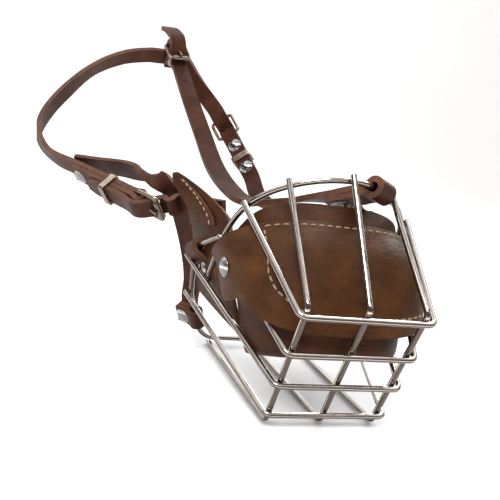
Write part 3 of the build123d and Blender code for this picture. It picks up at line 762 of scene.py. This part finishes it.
left_fold = fold(LEFT, 64, 64, -BUCKLE_L / 2, BAR_R + 0.15, 0.15)
neck_way = [
    ((-137, 131, 104), (0.5, 0.5, -0.7)),
    ((-147.5, 157, 117), (0.03, 0.54, -0.84)),
    ((-144, 173, 131), (0.2, 0.62, -0.76)),
    ((-131, 187, 150), (0.25, 0.66, -0.7)),
    ((-112, 197, 170), (-0.05, 0.75, -0.6)),
    ((-90, 202, 183), (-0.1, 0.72, -0.68)),
    ((-70, 203, 188.5), (-0.08, 0.7, -0.71)),
]
neck_way += [(CROWN.at(x, -BUCKLE_L / 2, -10.5), -CROWN.z) for x in (9, 6.5, -6.5, -9)]
neck_way.append(((-29, 190.5, 170), (-0.5, 0.5, -0.7)))
neck_way += billet(RIGHT, -46)
strap("neck_strap_skin", left_fold + neck_way, "harness", "neck_strap", tip=True)

crown_fold = Seat(CROWN.at(0, -BUCKLE_L / 2, 0), CROWN.z, across=CROWN.x)
carrier_core = STRAP_T / 2 + 0.2
carrier_way = fold(crown_fold, 17.5, 17.5, 0, carrier_core, carrier_core)
strap("crown_carrier_skin", carrier_way, "harness", "crown_carrier")

loop_way = list(reversed(fold(NOSE, 26, 28, 0, 2.6, 0.1)))
forehead_way = [
    ((-4.0, 7.0, 103.0), (-0.84, -0.53, -0.05)),
    ((-16.5, 22.5, 98.3), (-0.8, -0.6, -0.1)),
    ((-21.8, 32.2, 96.0), (-0.84, -0.5, -0.1)),
    ((-27.5, 48.0, 97.6), (-0.9, -0.35, -0.1)),
    ((-33.0, 84.0, 110.0), (-0.95, -0.1, -0.2)),
    ((-36.3, 123.6, 132.7), (-0.96, 0.1, -0.24)),
    ((-41.6, 156.8, 157.7), (-0.97, 0.0, -0.2)),
]
crown_tail = [(CROWN.at(0, -BUCKLE_L / 2 - y, z), CROWN.x) for y, z in ((8, 5.6), (17, 2.6), (26, -2.5))]
crossing_strap("forehead_strap_skin", loop_way + forehead_way + billet(CROWN, None) + crown_tail,
               "forehead_loop", "forehead_strap", start=(-12, 22, 94), end=(-22, 38, 95), tip=True,
               hole_centres=[(-45.6, 183.0, 178.5), (-43.6, 169.5, 167.5)])

left_way = [
    ((-45.0, 11.0, 91.5), (0.1, 0.2, -0.97)),
    ((-50.6, 22.0, 91.0), (0.2, 0.2, -0.95)),
    ((-53.6, 28.6, 90.6), (0.25, 0.2, -0.94)),
    ((-55.8, 34.4, 90.6), (0.25, 0.2, -0.94)),
    ((-62.0, 43.0, 90.4), (0.4, 0.35, -0.84)),
]
crossing_strap("left_cheek_strap_skin", left_way + billet(LEFT, -52, 5.0),
               "left_cheek_root", "left_cheek_billet",
               start=(-51, 24, 91), end=(-57, 38, 91), tip=True)

right_way = [
    ((9.4, 107.6, 92.0), (-0.95, 0.1, -0.3)),
    ((28.0, 72.0, 87.0), (-0.88, -0.1, 0.3)),
    ((43.0, 46.0, 93.0), (-0.75, 0.15, 0.6)),
    ((46.0, 32.8, 95.0), (-0.64, 0.29, 0.71)),
    ((45.8, 28.0, 96.3), (-0.64, 0.29, 0.71)),
    ((43.5, 21.0, 97.1), (-0.64, 0.29, 0.71)),
    ((41.0, 13.5, 97.9), (-0.64, 0.29, 0.71)),
]
crossing_strap("right_cheek_strap_skin", fold(RIGHT, 40, 42, -BUCKLE_L / 2, BAR_R + 0.15, 0.15) + right_way,
               "right_cheek_strap", "right_cheek_root", start=(45, 22, 96), end=(45, 38, 95))

strap("rim_loop_skin", fold(RIM, 14, 14, 0, 1.7, 0.1), "cage", "rim_loop")
throat_way = [
    (RIM.at(6, -8.5, -1.5 * STRAP_T - 0.2), RIM.y),
    (RIM.at(-7, -8.5, -1.5 * STRAP_T - 0.2), RIM.y),
    ((-46.5, 55.0, 43.0), (0.7, -0.7, 0.0)),
    ((-52.0, 51.5, 63.0), (0.7, -0.7, 0.1)),
    ((-60.0, 50.0, 83.0), (0.6, -0.8, 0.2)),
    ((-64.8, 51.0, 93.0), (0.6, -0.8, 0.2)),
    ((-72.5, 54.5, 100.0), (0.6, -0.6, 0.4)),
    ((-87.7, 82.8, 103.0), (0.5, 0.2, -0.85)),
    ((-105.2, 106.5, 102.5), (0.55, 0.4, -0.75)),
    ((-120.5, 118.0, 102.0), (0.55, 0.4, -0.75)),
]
crossing_strap("throat_strap_skin", throat_way, "throat_strap_lower", "throat_strap_upper",
               start=(-58, 50, 76), end=(-66, 51, 96))

over = STRAP_T + 0.15
rivets("forehead_loop_rivet_cap", [(NOSE.at(0, -22, -over), -NOSE.z)], "cage", "forehead_loop_rivet")
rivets("neck_strap_rivet_caps", [(LEFT.at(0, -64, over), LEFT.z), (LEFT.at(0, -64, -over), -LEFT.z)],
       "harness", "neck_strap_rivets")
rivets("right_strap_rivet_caps", [(RIGHT.at(0, y, -over), -RIGHT.z) for y in (-20, -41)],
       "harness", "right_strap_rivets")
throat_caps = [(RIM.at(0, -8.5, over), RIM.z), (RIM.at(0, -8.5, -2 * STRAP_T - 0.3), -RIM.z)]
rivets("throat_strap_rivet_caps", throat_caps, "cage", "throat_strap_rivets")
reach = 1.5 * STRAP_T + 0.2
crown_caps = [(CROWN.at(0, -BUCKLE_L / 2 + side * reach, -11), CROWN.y * side) for side in (1, -1)]
rivets("crown_rivet_caps", crown_caps, "harness", "crown_rivets")


# ---------------------------------------------------------------- floor, light and camera
floor_mat, nodes, links, shader = new_material("pale_floor")
shader.inputs["Base Color"].default_value = (0.98, 0.98, 0.98, 1)
shader.inputs["Roughness"].default_value = 0.9
shader.inputs["Specular IOR Level"].default_value = 0.1
sweep = [(-6.0, -0.0006), (0.9, -0.0006)]
sweep += [(0.9 + 0.5 * sin(radians(a)), 0.4994 - 0.5 * cos(radians(a))) for a in range(6, 91, 6)]
sweep.append((1.4, 1.1))
points = [(x, y, z) for y, z in sweep for x in (-6, 6)]
mesh = bpy.data.meshes.new("floor")
mesh.from_pydata(points, [], [(2 * k, 2 * k + 1, 2 * k + 3, 2 * k + 2) for k in range(len(sweep) - 1)])
mesh.materials.append(floor_mat)
for polygon in mesh.polygons:
    polygon.use_smooth = True
floor = bpy.data.objects.new("floor", mesh)
bpy.context.collection.objects.link(floor)

world = bpy.data.worlds.new("studio")
bpy.context.scene.world = world
world.use_nodes = True
nodes, links = world.node_tree.nodes, world.node_tree.links
direction = nodes.new("ShaderNodeTexCoord").outputs["Generated"]
split = nodes.new("ShaderNodeSeparateXYZ")
links.new(direction, split.inputs["Vector"])
WORLD_BANDS = [
    (0.0, (0.9, 0.9, 0.9)), (0.05, (0.02, 0.02, 0.02)), (0.16, (0.03, 0.03, 0.03)), (0.2, (1.5, 1.45, 1.4)),
    (0.3, (1.5, 1.45, 1.4)), (0.36, (0.05, 0.04, 0.035)), (0.55, (0.1, 0.09, 0.08)),
    (0.62, (1.7, 1.68, 1.65)), (0.85, (1.8, 1.8, 1.8)), (1.0, (0.6, 0.6, 0.6)),
]
sky = ramp(nodes, links, split.outputs["Z"], WORLD_BANDS)
plain = nodes.new("ShaderNodeRGB")
plain.outputs["Color"].default_value = (1.15, 1.15, 1.15, 1)
seen = nodes.new("ShaderNodeLightPath").outputs["Is Camera Ray"]
links.new(mix(nodes, links, "MIX", seen, sky, plain.outputs["Color"]), nodes["Background"].inputs["Color"])
nodes["Background"].inputs["Strength"].default_value = 0.85


def area_light(name, place, target, size, power, colour=(1, 1, 1)):
    data = bpy.data.lights.new(name, "AREA")
    data.shape = "RECTANGLE"
    data.size, data.size_y = size
    data.energy = power
    data.color = colour
    obj = bpy.data.objects.new(name, data)
    obj.location = place
    obj.rotation_euler = (Vector(target) - Vector(place)).to_track_quat("-Z", "Y").to_euler()
    bpy.context.collection.objects.link(obj)


area_light("key", (-0.5, -0.7, 1.1), (-0.02, 0.03, 0.07), (0.5, 0.5), 11, (1.0, 0.97, 0.93))
area_light("rim", (0.7, 0.6, 0.8), (-0.02, 0.05, 0.1), (0.3, 0.9), 7, (0.95, 0.97, 1.0))

camera_data = bpy.data.cameras.new("camera")
camera = bpy.data.objects.new("camera", camera_data)
bpy.context.collection.objects.link(camera)
right = Vector((0.95953, -0.24705, 0.13515)).normalized()
view_up = Vector((-0.08069, 0.2186, 0.97247))
view_up = (view_up - right * view_up.dot(right)).normalized()
back = right.cross(view_up)
eye = Vector((-0.1356, -0.3000, 0.1265))
rows = [(right[k], view_up[k], back[k], eye[k]) for k in range(3)]
camera.matrix_world = Matrix((*rows, (0, 0, 0, 1)))
camera_data.sensor_width = 36.0
camera_data.lens = 43.2
camera_data.shift_x = 0.0717
camera_data.shift_y = 0.0215
camera_data.clip_start = 0.01
bpy.context.scene.camera = camera
bpy.context.scene.view_settings.view_transform = "Standard"
